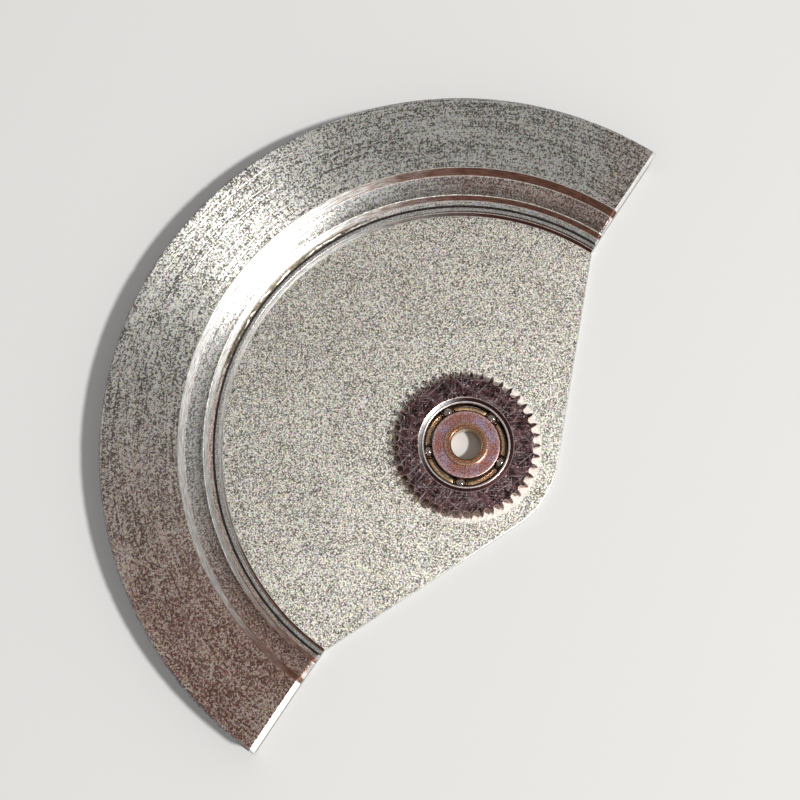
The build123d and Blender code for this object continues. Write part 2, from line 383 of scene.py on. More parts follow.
class Graph:
    """A material's node graph, with short calls for the few nodes that the finishes use.

    Attributes:
        material: The material.
        tree: Its node tree.
        shader: Its shader.
        place: The place on the piece, in metres.
        radius: Its distance from the bearing axis, the square root of x squared plus y squared.
        angle: Its angle round the axis, in radians.
        height: Its height.
    """

    def __init__(self, name: str) -> None:
        """Starts a material with one shader.

        Args:
            name: The material's name.
        """
        self.material = bpy.data.materials.new(name)
        self.material.use_nodes = True
        self.tree = self.material.node_tree
        self.shader = self.tree.nodes["Principled BSDF"]
        self.place = Signal(self, self.add("ShaderNodeTexCoord").outputs["Object"])
        parts = self.add("ShaderNodeSeparateXYZ", self.place).outputs
        x, y, self.height = (Signal(self, part) for part in parts)
        self.radius = self.calc("SQRT", x * x + y * y)
        self.angle = self.calc("ARCTAN2", y, x)

    def add(self, kind: str, *inputs: object, **settings: object) -> bpy.types.Node:
        """Adds a node.

        Args:
            kind: The node's type.
            *inputs: What its first sockets get, in order.
            **settings: Its properties.

        Returns:
            The node.
        """
        node = self.tree.nodes.new(kind)
        for key, value in settings.items():
            setattr(node, key, value)
        for source, socket in zip(inputs, node.inputs):
            self.join(source, socket)
        return node

    def take(self, kind: str, *inputs: object, **settings: object) -> Signal:
        """Adds a node as add() does, and takes its first output."""
        return Signal(self, self.add(kind, *inputs, **settings).outputs[0])

    def join(self, source: object, socket: Socket) -> None:
        """Feeds a socket from an output, or sets it to a plain value.

        Args:
            source: A signal, an output, a number, a vector or a colour.
            socket: The socket.
        """
        source = source.socket if isinstance(source, Signal) else source
        if isinstance(source, Socket):
            self.tree.links.new(source, socket)
        elif socket.type == "RGBA":
            socket.default_value = (*source, 1.0)
        else:
            socket.default_value = source

    def calc(self, operation: str, *values: object) -> Signal:
        """A function of one or two numbers."""
        return self.take("ShaderNodeMath", *values, operation=operation)

    def patches(self, where: Signal, size_mm: float, detail: float, rough: float) -> bpy.types.Node:
        """Adds a noise node.

        Args:
            where: The place, in metres.
            size_mm: Size of the patches.
            detail: How many finer layers lie over them.
            rough: How strong the finer layers are.

        Returns:
            The node.
        """
        node = self.add("ShaderNodeTexNoise", where)
        node.inputs["Scale"].default_value = 1 / (size_mm * MM)
        node.inputs["Detail"].default_value = detail
        node.inputs["Roughness"].default_value = rough
        return node

    def noise(self, where: Signal, size_mm: float, detail: float = 2.0, rough: float = 0.6) -> Signal:
        """Noise around a half, with patches of about a given size."""
        return Signal(self, self.patches(where, size_mm, detail, rough).outputs[0])

    def grain(self, size_mm: float, detail: float = 2.0, rough: float = 0.6) -> Signal:
        """Noise on the place itself."""
        return self.noise(self.place, size_mm, detail, rough)

    def stretched(self, turn: float, along: float, across: float, shift: float = 0.0) -> Signal:
        """The place turned about Z and shrunk along one axis, so that noise on it becomes scratches.

        Args:
            turn: Direction of the scratches, in radians.
            along: Scale of the place along them.
            across: Its scale across them.
            shift: How far the pattern is moved, in metres.

        Returns:
            The place.
        """
        node = self.add("ShaderNodeMapping", self.place, vector_type="TEXTURE")
        node.inputs["Rotation"].default_value = (0, 0, turn)
        node.inputs["Scale"].default_value = (1 / along, 1 / across, 1)
        node.inputs["Location"].default_value = (shift, shift, 0)
        return Signal(self, node.outputs[0])

    def turned(self, arc_mm: float) -> Signal:
        """A place made of radius, slow travel round the axis, and height: noise on it is turning lines."""
        return self.take("ShaderNodeCombineXYZ", self.radius, self.angle * (arc_mm * MM), self.height)

    def round_from(self, start: float) -> Signal:
        """The angle round the axis, counted from a start in degrees, up to half a turn, to a full turn."""
        return self.calc("MODULO", self.angle + (FULL_TURN - math.radians(start)), FULL_TURN)

    def out_to(self, radii_mm: Span, to: Span) -> Signal:
        """Maps the way outwards from one distance from the axis to another onto a span."""
        return self.radius.spread(radii_mm[0] * MM, radii_mm[1] * MM, to)

    def ring_at(self, middle: object, full_mm: float, gone_mm: float) -> Signal:
        """A thin ring round the axis.

        Args:
            middle: Its radius in metres, as a number or a signal.
            full_mm: How far from its middle it is still full.
            gone_mm: How far from its middle it is gone.

        Returns:
            The amount, from 0 to 1.
        """
        apart = self.calc("ABSOLUTE", self.radius - middle)
        return apart.spread(full_mm * MM, gone_mm * MM, (1.0, 0.0))

    def blend(self, amount: Signal, low: object, high: object) -> Signal:
        """Mixes two colours.

        Args:
            amount: The second one's share.
            low: The first colour.
            high: The second colour.

        Returns:
            The mixed colour.
        """
        node = self.add("ShaderNodeMix", amount, data_type="RGBA")
        for value, socket in zip((low, high), [s for s in node.inputs if s.type == "RGBA"]):
            self.join(value, socket)
        return Signal(self, next(s for s in node.outputs if s.type == "RGBA"))

    def colour(self, value: object) -> None:
        """Sets the surface's own colour."""
        self.join(value, self.shader.inputs["Base Color"])

    def roughness(self, value: object) -> None:
        """Sets how rough the surface is."""
        self.join(value, self.shader.inputs["Roughness"])

    def relief(self, height: Signal, depth_mm: float, strength: float) -> None:
        """Raises the surface by a height from 0 to 1 times a depth.

        Args:
            height: The height.
            depth_mm: The depth.
            strength: Share of the slope that shows.
        """
        node = self.add("ShaderNodeBump")
        node.inputs["Strength"].default_value = strength
        node.inputs["Distance"].default_value = depth_mm * MM
        self.join(height, node.inputs["Height"])
        self.join(node.outputs[0], self.shader.inputs["Normal"])

    def radial_grain(self, amount: float) -> None:
        """Draws highlights out from the axis, as fine lines turned round it do.

        Args:
            amount: How far the highlight is drawn out, from 0 to 1.
        """
        flat = self.take("ShaderNodeVectorMath", self.place, (1, 1, 0), operation="MULTIPLY")
        way = {"vector_type": "VECTOR", "convert_from": "OBJECT", "convert_to": "WORLD"}
        world = self.take("ShaderNodeVectorTransform", flat, **way)
        straight = self.take("ShaderNodeVectorMath", world, operation="NORMALIZE")
        self.join(straight, self.shader.inputs["Tangent"])
        self.shader.inputs["Anisotropic"].default_value = amount


class Finish:
    """A surface's finish. Its material is made once and shared."""

    def material(self, name: str) -> bpy.types.Material:
        """Makes the finish's material, or finds it where another piece has it already.

        Args:
            name: The material's name.

        Returns:
            The material.
        """
        found = bpy.data.materials.get(name)
        if found is None:
            graph = Graph(name)
            graph.shader.inputs["Metallic"].default_value = 1.0
            self.paint(graph)
            found = graph.material
        return found

    def paint(self, graph: Graph) -> None:
        """Builds the finish's pattern. Each kind of finish has its own."""
        raise NotImplementedError


@dataclass(frozen=True)
class TurnedMetal(Finish):
    """Heavy metal turned on a lathe: fine grain over long turning lines, with a brown painted reflection
    towards the cut ends.

    Attributes:
        dark: Colour of the grain's low spots.
        light: Colour of its high spots.
        near: Angles at which the brown painted reflection of the near end is full and gone, in degrees.
        near_share: How much of it there is.
        far: Angles at which the brown painted reflection of the far end starts and is full, in degrees.
        far_share: How much of it there is.
        rough: Roughness.
        drawn: How far highlights are drawn out.
        fade: Radii between which the colour comes up to its full share, in millimetres.
        faded: Its share at the first of them.
        brown_dark: Colour of the painted reflection's low spots.
        brown_light: Colour of its high spots.
        fleck: Colour of the bare grains in the painted reflection.
        bare: Colour of specks and scuffs.
        grain_mm: Size of the grain.
        line_mm: Width of the turning lines.
        arc_mm: Width of the shorter arcs.
        patch_mm: Size of the uneven patches.
    """

    dark: Colour
    light: Colour
    near: Span
    near_share: float
    far: Span = (100.0, 166.0)
    far_share: float = 0.9
    rough: float = 0.29
    drawn: float = 0.93
    fade: Span = (9.0, 9.5)
    faded: float = 1.0
    brown_dark: Colour = (0.24, 0.115, 0.088)
    brown_light: Colour = (0.70, 0.40, 0.33)
    fleck: Colour = (1.0, 0.84, 0.71)
    bare: Colour = (0.92, 0.90, 0.86)
    grain_mm: float = 0.0634
    line_mm: float = 0.045
    arc_mm: float = 0.085
    patch_mm: float = 1.5

    def paint(self, graph: Graph) -> None:
        """Mixes grain, lines and arcs, paints a brown reflection towards the ends, and adds specks and scuffs.

        Args:
            graph: The material's graph.
        """
        fine = graph.grain(self.grain_mm, 2.0, 0.85)
        lines = graph.noise(graph.turned(1.1), self.line_mm) - 0.5
        arcs = graph.noise(graph.turned(0.22), self.arc_mm, 2.0, 0.55) - 0.5
        uneven = graph.grain(self.patch_mm, 3.0) - 0.5
        turning = lines * 0.20 + arcs * 0.26
        pattern = fine + turning + uneven * 0.14
        metal = graph.blend(pattern.spread(0.443, 0.538), self.dark, self.light)
        # Painted reflection: towards both cut ends the metal is painted a pinkish brown that stands in for warm
        # reflected light. It stays clear round the highlights in between.
        where = graph.angle + uneven * 0.3
        near = where.from_to(self.near, (self.near_share, 0.0))
        far = where.from_to(self.far, (0.0, self.far_share))
        ground = graph.blend(pattern.spread(0.43, 0.57), self.brown_dark, self.brown_light)
        brown = graph.blend((fine + uneven * 0.25).spread(0.54, 0.595), ground, self.fleck)
        metal_and_reflection = graph.blend(graph.calc("MAXIMUM", near, far), metal, brown).mottled(0.8)
        if self.faded < 1.0:
            metal_and_reflection = metal_and_reflection.scaled(graph.out_to(self.fade, (self.faded, 1.0)))
        speck = graph.grain(0.10, 1.0, 0.5).spread(0.69, 0.75, (0.0, 0.8))
        scuff = graph.noise(graph.stretched(0.5, 0.3, 1.0), 0.09, 1.0, 0.5).spread(0.722, 0.757, (0.0, 0.7))
        graph.colour(graph.blend(graph.calc("MAXIMUM", speck, scuff), metal_and_reflection, self.bare))
        graph.roughness(fine.spread(0.35, 0.65, (self.rough - 0.03, self.rough + 0.03)))
        graph.relief(turning, 0.024, 0.6)
        graph.radial_grain(self.drawn)


@dataclass(frozen=True)
class WallMetal(Finish):
    """A sloping step wall: fine rings over painted light and shade, a brown painted shade and reflection that
    turns to a grey painted highlight round the middle of the weight.

    Attributes:
        brown: Colour at both ends, painted shade and reflection.
        grey: Colour where the soft box's highlight falls, a painted highlight.
        highlight_at: Angles at which the painted highlight starts, is full, starts to go and is gone, in
            degrees.
        rough: Roughness.
        ring_mm: Width of the rings.
        patch_mm: Size of the patches that waver the edge between the two painted colours.
    """

    brown: Colour
    grey: Colour
    highlight_at: Window
    rough: float = 0.5
    ring_mm: float = 0.020
    patch_mm: float = 0.9

    def paint(self, graph: Graph) -> None:
        """Blends the two colours round the weight and lays the rings over them.

        Args:
            graph: The material's graph.
        """
        rings = graph.noise(graph.turned(0.45), self.ring_mm)
        # Painted light and shade: brown shade and reflection at both ends, and a grey highlight where the soft
        # box's highlight falls.
        where = graph.angle + (graph.grain(self.patch_mm) - 0.5) * 0.5
        wall = graph.blend(where.between(self.highlight_at), self.brown, self.grey)
        graph.colour(wall.scaled(rings.spread(0.40, 0.60, (0.55, 1.3))).mottled(0.8))
        graph.roughness(rings.spread(0.35, 0.65, (self.rough - 0.06, self.rough + 0.06)))
        graph.relief(rings, 0.005, 0.6)
        graph.radial_grain(0.95)


@dataclass(frozen=True)
class LedgeMetal(Finish):
    """The narrow ledge: grey rings, painted darker along the middle where the soft box's highlight falls, with
    a broken bright thread there that is a painted highlight, and a rosy painted reflection at the far end.

    Attributes:
        grey: Colour of the near stretch.
        dark: Colour of the middle stretch, painted shade.
        rosy: Colour of the far stretch, a painted reflection.
        joint_glint: Colour of the thread, a painted highlight.
        joint_glint_r: The thread's distance from the axis, in millimetres.
        first: Angles between which grey turns dark, in degrees.
        last: Angles between which dark turns rosy, in degrees.
    """

    grey: Colour
    dark: Colour
    rosy: Colour
    joint_glint: Colour
    joint_glint_r: float
    first: Span = (48.0, 64.0)
    last: Span = (102.0, 118.0)

    def paint(self, graph: Graph) -> None:
        """Colours the ledge by place round it, then draws the thread.

        Args:
            graph: The material's graph.
        """
        rings = graph.noise(graph.turned(0.5), 0.022, 3.0, 0.65)
        grain = graph.grain(0.05, 2.0, 0.7)
        both = rings * 0.5 + grain * 0.5
        # Painted light and shade round the ledge: grey, then dark painted shade where the soft box's highlight
        # falls, then a rosy painted reflection. The bright thread in the dark stretch is a painted highlight.
        first, last = graph.angle.from_to(self.first), graph.angle.from_to(self.last)
        base = graph.blend(last, graph.blend(first, self.grey, self.dark), self.rosy)
        base = base.scaled(both.spread(0.42, 0.58, (0.5, 1.5))).mottled(1.1)
        sway = (graph.noise(graph.turned(6.0), 0.55) - 0.5) * (0.28 * MM)
        thread = graph.ring_at(sway + self.joint_glint_r * MM, 0.010, 0.026)
        broken = graph.grain(0.6).spread(0.44, 0.52)
        graph.colour(graph.blend(thread * broken * (first * (1.0 - last)), base, self.joint_glint))
        graph.roughness(grain.spread(0.35, 0.65, (0.27, 0.39)))
        graph.relief(both, 0.006, 0.7)
        graph.radial_grain(0.7)


@dataclass(frozen=True)
class BlastedNickel(Finish):
    """Fine-blasted nickel: bright and dark grains and faint circles, with a painted shadow under the gear on
    the side away from the soft box and painted reflected light round it on the side towards it.

    Attributes:
        dark: Colour of the dark grains.
        light: Colour of the bright grains.
        circles: Radii of the faint circles, in millimetres.
        circle: Colour of the circles.
        painted_shadow_extent: Radii at which the painted shadow under the gear starts to go and is gone, in
            millimetres.
        painted_shadow_colour: Colour of the painted shadow.
        painted_light_extent: Radii at which the painted reflected light round the gear starts to go and is
            gone, in millimetres.
        painted_light_colour: Colour of the painted reflected light.
        lit_side_at: The side towards the soft box, which gets the painted light and not the painted shadow, in
            degrees from a quarter turn on.
        grain_mm: Size of the grains.
    """

    dark: Colour
    light: Colour
    circles: tuple[float, ...]
    circle: Colour = (0.22, 0.20, 0.19)
    painted_shadow_extent: Span = (2.38, 2.56)
    painted_shadow_colour: Colour = (0.12, 0.045, 0.03)
    painted_light_extent: Span = (2.62, 2.76)
    painted_light_colour: Colour = (1.0, 0.94, 0.87)
    lit_side_at: Window = (75.0, 142.0, 262.0, 306.0)
    grain_mm: float = 0.042

    def paint(self, graph: Graph) -> None:
        """Mixes grains of two sizes, draws the circles and paints shadow and reflected light round the gear.

        Args:
            graph: The material's graph.
        """
        fine = graph.grain(self.grain_mm, 2.0, 0.85)
        pattern = fine * 0.85 + (graph.grain(0.11) * 0.11 + graph.grain(1.4, 2.0, 0.5) * 0.04)
        surface = graph.blend(pattern.spread(0.449, 0.541), self.dark, self.light).mottled(0.8)
        for number, circle in enumerate(self.circles):
            line = graph.ring_at(circle * MM, 0.012, 0.03)
            broken = graph.grain(1.1 + 0.5 * number).spread(0.46, 0.56, (0.0, 0.35))
            surface = graph.blend(line * broken, surface, self.circle)
        # Painted light and shade: on the side away from the soft box, the plate under the gear and in its tooth
        # gaps is painted dark red-brown as shadow. On the side towards the soft box, the plate round the gear
        # is painted near white as light thrown back from the teeth.
        bright = graph.round_from(90.0).between(self.lit_side_at)
        painted_light_amount = graph.out_to(self.painted_light_extent, (0.72, 0.0)) * bright
        painted_shadow_extent = graph.out_to(self.painted_shadow_extent, (0.85, 0.0)) * (1.0 - bright)
        surface = graph.blend(painted_shadow_extent, graph.blend(painted_light_amount, surface, self.painted_light_colour), self.painted_shadow_colour)
        graph.colour(surface)
        graph.roughness(fine.spread(0.35, 0.65, (0.62, 0.44)))
        graph.relief(pattern, 0.011, 1.0)


@dataclass(frozen=True)
class LappedSteel(Finish):
    """Dark lapped steel with fine scratches in many directions, light specks and a painted highlight on the
    tooth crests on one side.

    Attributes:
        dark: Colour of the ground's low spots.
        light: Colour of its high spots.
        scratch: Colour of the scratches and specks.
        rough: Roughness.
        scratches: How many directions the scratches have.
        crest_highlight_r: Radii between which the crests carry the painted highlight, in millimetres.
        crest_highlight_at: Where the painted highlight starts, is full, starts to go and is gone, in degrees.
        crest_highlight_share: How strong the painted highlight is.
        worn: Colour of the painted highlight on the crests.
    """

    dark: Colour
    light: Colour
    scratch: Colour
    rough: float = 0.3
    scratches: int = 8
    crest_highlight_r: Span = (2.37, 2.50)
    crest_highlight_at: Window = (182.0, 222.0, 258.0, 290.0)
    crest_highlight_share: float = 0.25
    worn: Colour = (0.84, 0.60, 0.50)

    def paint(self, graph: Graph) -> None:
        """Lays scratches over a cloudy ground, and paints a highlight on the crests of the teeth on the side
        towards the soft box.

        Args:
            graph: The material's graph.
        """
        grain = graph.grain(0.06, 2.0, 0.7)
        both = graph.grain(0.5, 3.0) * 0.5 + grain * 0.5
        ground = graph.blend(both.spread(0.38, 0.62), self.dark, self.light).mottled(1.2)
        marks = self.marks(graph)
        speck = graph.grain(0.085, 0.0, 0.5).spread(0.72, 0.78, (0.0, 0.9))
        ground = graph.blend(graph.calc("MAXIMUM", marks, speck), ground, self.scratch)
        # Painted highlight: the tooth crests on the side towards the soft box are painted light.
        crests = graph.round_from(0.0).between(self.crest_highlight_at) * graph.out_to(self.crest_highlight_r, (0.0, self.crest_highlight_share))
        graph.colour(graph.blend(crests, ground, self.worn))
        graph.roughness(both.spread(0.4, 0.6, (self.rough - 0.06, self.rough + 0.08)))
        graph.relief(grain - marks * 0.6, 0.004, 0.5)

    def marks(self, graph: Graph) -> Signal:
        """Draws the scratches: each direction's are noise on a long thin place, and the strongest shows.

        Args:
            graph: The material's graph.

        Returns:
            The scratches' strength.
        """
        marks: object = 0.0
        for number in range(self.scratches):
            third = number % 3
            where = graph.stretched(0.45 + number * 2.4, 0.035 + 0.01 * third, 1.0, 0.37 * MM * number)
            thin = graph.noise(where, 0.028 + 0.006 * (number % 2), 1.0, 0.5)
            marks = graph.calc("MAXIMUM", marks, thin.spread(0.665, 0.725, (0.0, 0.42 + 0.1 * third)))
        return marks


@dataclass(frozen=True)
class TintedSteel(Finish):
    """Steel with the colours of heat: purple-brown, patches of blue-violet, and a pink rim.

    Attributes:
        brown: Colour of the ground.
        violet: Colour of the patches.
        pink: Colour of the rim.
        rim_r: The rim's distance from the axis, in millimetres.
        rough: Roughness.
        rim_width: How far the rim's colour reaches inwards, in millimetres.
    """

    brown: Colour
    violet: Colour
    pink: Colour
    rim_r: float
    rough: float = 0.3
    rim_width: float = 0.16

    def paint(self, graph: Graph) -> None:
        """Mixes the tints by place and by distance from the rim.

        Args:
            graph: The material's graph.
        """
        grain = graph.grain(0.05, 2.0, 0.7)
        tint = graph.blend(graph.grain(0.55, 2.0, 0.55).spread(0.38, 0.64), self.brown, self.violet)
        rim = graph.out_to((self.rim_r - self.rim_width, self.rim_r), (0.0, 0.8))
        graph.colour(graph.blend(rim, tint, self.pink).scaled(grain.spread(0.35, 0.65, (0.55, 1.3))))
        graph.roughness(grain.spread(0.3, 0.7, (self.rough - 0.05, self.rough + 0.1)))
        graph.relief(grain, 0.004, 0.5)


@dataclass(frozen=True)
class PlainMetal(Finish):
    """A small metal surface with a fine grain in its colour and roughness.

    Attributes:
        dark: Colour of the grain's low spots.
        light: Colour of its high spots.
        rough: Roughness.
        grain_mm: Size of the grain.
        depth_mm: Depth of the grain.
        drawn: How far highlights are drawn out from the axis.
        reflection_at: Angles at which a brown painted reflection starts and is full, in degrees, or none.
        brown_dark: Colour of the painted reflection's low spots.
        brown_light: Colour of its high spots.
    """

    dark: Colour
    light: Colour
    rough: float
    grain_mm: float = 0.06
    depth_mm: float = 0.003
    drawn: float = 0.0
    reflection_at: Span | None = None
    brown_dark: Colour = (0.26, 0.12, 0.09)
    brown_light: Colour = (0.62, 0.36, 0.29)

    def paint(self, graph: Graph) -> None:
        """Mixes the two colours by noise, and paints a brown reflection over one end if asked.

        Args:
            graph: The material's graph.
        """
        grain = graph.grain(self.grain_mm, 2.0, 0.65)
        both = grain * 0.6 + graph.noise(graph.turned(0.8), 0.03) * 0.4
        tone = both.spread(0.4, 0.6)
        metal = graph.blend(tone, self.dark, self.light)
        # Painted reflection: one end is painted brown, standing in for warm reflected light.
        if self.reflection_at:
            where = graph.angle + (graph.grain(1.2) - 0.5) * 0.4
            brown = graph.blend(tone, self.brown_dark, self.brown_light)
            metal = graph.blend(where.from_to(self.reflection_at), metal, brown)
        graph.colour(metal)
        graph.roughness(grain.spread(0.3, 0.7, (max(self.rough - 0.06, 0.03), self.rough + 0.06)))
        graph.relief(both, self.depth_mm, 0.5)
        if self.drawn:
            graph.radial_grain(self.drawn)


FINISHES: dict[Zone, Finish] = {
    # Both bands are painted brown towards their cut ends, a painted reflection.
    Zone.OUTER_BAND: TurnedMetal((0.175, 0.162, 0.143), (1.0, 0.958, 0.875), (0.0, 14.0), 0.30),
    Zone.MIDDLE_BAND: TurnedMetal(
        (0.28, 0.263, 0.235),
        (1.0, 0.975, 0.93),
        near=(20.0, 54.0),
        near_share=0.66,
        far=(124.0, 168.0),
        rough=0.40,
        drawn=0.96,
        fade=(9.05, 9.50),
        faded=0.58,
    ),
    # Painted brown shade and reflection at both ends, with a near-white painted highlight in between.
    Zone.STEP_WALL: WallMetal((0.34, 0.17, 0.125), (1.0, 0.98, 0.94), (34.0, 71.0, 148.0, 182.0)),
    # The gilt edge and the foot line are painted brown at the far end, a painted reflection.
    Zone.GILT_EDGE: PlainMetal((0.72, 0.66, 0.56), (1.0, 0.98, 0.93), 0.32, reflection_at=(146.0, 164.0)),
    Zone.FOOT_LINE: PlainMetal((0.58, 0.46, 0.42), (0.95, 0.86, 0.81), 0.36, reflection_at=(140.0, 160.0)),
    # The ledge carries painted shade, a painted rosy reflection and a painted bright glint.
    Zone.LEDGE: LedgeMetal(
        (0.62, 0.60, 0.57), (0.115, 0.10, 0.068), (0.66, 0.54, 0.47), (0.95, 0.90, 0.84), 8.80
    ),
    Zone.SEAM: PlainMetal((0.045, 0.032, 0.03), (0.15, 0.12, 0.11), 0.4),
    Zone.RIM: PlainMetal((0.11, 0.104, 0.112), (0.35, 0.34, 0.35), 0.34),
    Zone.CUT_END: PlainMetal((0.93, 0.92, 0.89), (1.0, 0.99, 0.96), 0.50),
    Zone.CUT_FACE: PlainMetal((0.26, 0.25, 0.235), (0.50, 0.485, 0.46), 0.42),
    Zone.DISPLAY_SIDE: PlainMetal((0.42, 0.41, 0.38), (0.62, 0.60, 0.57), 0.34, drawn=0.6),
    # The plate carries a painted shadow and painted reflected light round the gear.
    Zone.PLATE_FACE: BlastedNickel((0.078, 0.067, 0.055), (1.0, 0.935, 0.835), circles=(4.6, 7.0)),
    Zone.PLATE_EDGE: PlainMetal((0.60, 0.59, 0.56), (0.94, 0.93, 0.89), 0.32),
    Zone.PLATE_LIP: PlainMetal((0.42, 0.41, 0.385), (0.80, 0.78, 0.745), 0.25, drawn=0.45),
    # Painted dark brown shade, with a grey painted highlight in between.
    Zone.LIP_WALL: WallMetal((0.16, 0.06, 0.05), (0.52, 0.51, 0.49), (26.0, 62.0, 128.0, 160.0)),
    # The gear face carries a painted highlight on the tooth crests on one side.
    Zone.GEAR_FACE: LappedSteel((0.024, 0.010, 0.0105), (0.165, 0.083, 0.085), (0.70, 0.60, 0.61)),
    Zone.GEAR_FLANK: PlainMetal((0.34, 0.17, 0.12), (0.86, 0.60, 0.48), 0.30),
    Zone.TOOTH_EDGE: PlainMetal((0.50, 0.36, 0.32), (0.96, 0.82, 0.76), 0.28),
    # Painted dark shade in the sink, with a grey painted highlight in between.
    Zone.GEAR_SINK: WallMetal((0.12, 0.05, 0.05), (0.56, 0.56, 0.57), (30.0, 60.0, 118.0, 166.0), 0.55),
    Zone.RACE: PlainMetal((0.34, 0.29, 0.27), (0.52, 0.46, 0.43), 0.18, 0.08, 0.001),
    Zone.RING_LIP: PlainMetal((0.84, 0.72, 0.69), (1.0, 0.94, 0.90), 0.30, 0.07, 0.002),
    Zone.TINT: TintedSteel((0.47, 0.21, 0.175), (0.50, 0.36, 0.45), (0.78, 0.50, 0.47), 1.18),
    Zone.COLLAR: TintedSteel((0.56, 0.26, 0.15), (0.42, 0.19, 0.11), (0.90, 0.58, 0.40), 0.79, 0.22),
    Zone.BORE: PlainMetal((0.34, 0.20, 0.12), (0.66, 0.48, 0.32), 0.22),
    Zone.BRASS: PlainMetal((0.46, 0.27, 0.14), (0.76, 0.53, 0.32), 0.30),
    Zone.BALL: PlainMetal((0.38, 0.31, 0.27), (0.46, 0.40, 0.35), 0.07, 0.2, 0.0005),
}


@dataclass
class Weight:
    """The half ring of heavy metal, turned in steps and cut straight across. Sizes are in millimetres.

    From the rim inwards it has the outer band, a wall, the middle band, a wall, and the ledge that ends at the
    plate. A name in _r is a distance from the axis and one in _z a height. The end bevels and slopes are those
    of the near and the far end of the cut, and an end share is a surface's part of them.
    """

    outer_r: float = 12.5
    cut_y: float = CUT_Y
    band_inner_r: float = 9.80
    middle_outer_r: float = 9.65
    middle_inner_r: float = 9.03
    ledge_outer_r: float = 8.91
    joint_r: float = JOINT_R
    tongue_r: float = TONGUE_R
    rest_z: float = -0.66
    band_z: float = 0.92
    middle_outer_z: float = 0.57
    middle_inner_z: float = 0.19
    ledge_outer_z: float = 0.01
    ledge_inner_z: float = -0.09
    tongue_z: float = TONGUE_Z
    rim_bevel: float = 0.09
    display_bevel: float = 0.18
    lip_bevel: float = 0.035
    end_bevels: Span = (0.11, 0.17)
    end_slopes: Span = (0.80, 0.50)
    middle_end_share: float = 0.75
    ledge_end_share: float = 0.35
    crown: float = 0.045
    crown_soft: float = 0.25
    burr: float = 0.010
    burr_width: float = 0.03
    burr_sway: float = 0.006
    line: float = 0.028
    grooves: tuple[float, ...] = (11.96, 11.41, 11.12, 10.58, 10.23, 10.02)
    groove_width: float = 0.035
    groove_depth: float = 0.006
    nick_depth: float = 0.05
    nick_level: float = 0.55
    nick_z: float = 0.80
    copies: int = 490
    first_step: float = 0.002

    def burred(self, r: float, z: float, slope: float) -> list[Corner]:
        """The corners of a turned edge that stands up in a fine burr.

        Args:
            r: The edge's distance from the axis.
            z: Its height.
            slope: Rise of the surface behind it per unit of distance.

        Returns:
            Three corners, from the surface to the top of the wall below.
        """
        wide = self.burr_width
        return [
            Corner(r + wide, z + slope * wide, Zone.GILT_EDGE, 0.006),
            Corner(r + wide / 3, z + slope * wide / 3 + self.burr, Zone.GILT_EDGE, 0.006),
            Corner(r, z - self.burr, Zone.STEP_WALL, 0.006),
        ]

    def foot(self, r: float, z: float, slope: float, zone: Zone) -> list[Corner]:
        """The two corners at a wall's foot, where a light line leads to the next, sloping surface."""
        beyond = Corner(r - self.line, z - self.line * slope, zone)
        return [Corner(r, z, Zone.FOOT_LINE, 0.012), beyond]

    def section(self) -> Outline:
        """The stepped section, with a burr on each step's edge and a few deeper turning grooves.

        Returns:
            Its outline.
        """
        display, band, middle = Zone.DISPLAY_SIDE, Zone.OUTER_BAND, Zone.MIDDLE_BAND
        corners = [
            Corner(self.tongue_r, self.rest_z, display, 0.03),
            Corner(self.outer_r - self.display_bevel, self.rest_z, Zone.RIM, 0.03),
            Corner(self.outer_r, self.rest_z + self.display_bevel, Zone.RIM, 0.05),
            Corner(self.outer_r, self.band_z - self.rim_bevel, Zone.RIM, 0.03),
            Corner(self.outer_r - self.rim_bevel, self.band_z, band, 0.02),
        ]
        for r in self.grooves:
            corners += [
                Corner(r + self.groove_width, self.band_z, band, 0.008),
                Corner(r + self.groove_width / 2, self.band_z - self.groove_depth, band, 0.008),
                Corner(r, self.band_z, band, 0.008),
            ]
        cone = (self.middle_outer_z - self.middle_inner_z) / (self.middle_outer_r - self.middle_inner_r)
        crown_r = (self.middle_outer_r + self.middle_inner_r) / 2
        crown_z = self.middle_inner_z + (crown_r - self.middle_inner_r) * cone + self.crown
        lip_r, lip_z = self.joint_r + self.lip_bevel, self.ledge_inner_z
        fall = (self.ledge_outer_z - lip_z) / (self.ledge_outer_r - lip_r)
        corners += self.burred(self.band_inner_r, self.band_z, 0.0)
        corners += self.foot(self.middle_outer_r, self.middle_outer_z, cone, middle)
        corners.append(Corner(crown_r, crown_z, middle, self.crown_soft))
        corners += self.burred(self.middle_inner_r, self.middle_inner_z, cone)
        corners += self.foot(self.ledge_outer_r, self.ledge_outer_z, fall, Zone.LEDGE)
        corners += [
            Corner(lip_r, lip_z, Zone.SEAM, 0.008),
            Corner(self.joint_r, lip_z - self.lip_bevel, Zone.LEDGE),
            Corner(self.joint_r, self.tongue_z, display),
            Corner(self.tongue_r, self.tongue_z, display),
        ]
        return soften(corners)

    def bevels(self, r: np.ndarray, z: np.ndarray) -> tuple[np.ndarray, np.ndarray]:
        """The bevel that the cut's edge has at each point of the section, as a share of the band's.

        On the steps it runs from the band's width down to the ledge's, below the surface's own height. Outside
        them it is the band's, below the band.

        Args:
            r: Distance of each point from the axis, in metres.
            z: Its height, in metres.

        Returns:
            The bevel's share and the height that it starts from, in metres.
        """
        inside = r <= (self.band_inner_r + self.burr_width) * MM
        steps = inside & (z > (self.ledge_inner_z - 2 * self.lip_bevel) * MM)
        radii = [self.ledge_outer_r, self.middle_inner_r, self.middle_outer_r, self.band_inner_r]
        shares = [self.ledge_end_share, self.middle_end_share, self.middle_end_share, 1.0]
        share = np.where(steps, np.interp(r / MM, radii, shares), 1.0)
        return share, np.where(steps, z, self.band_z * MM)

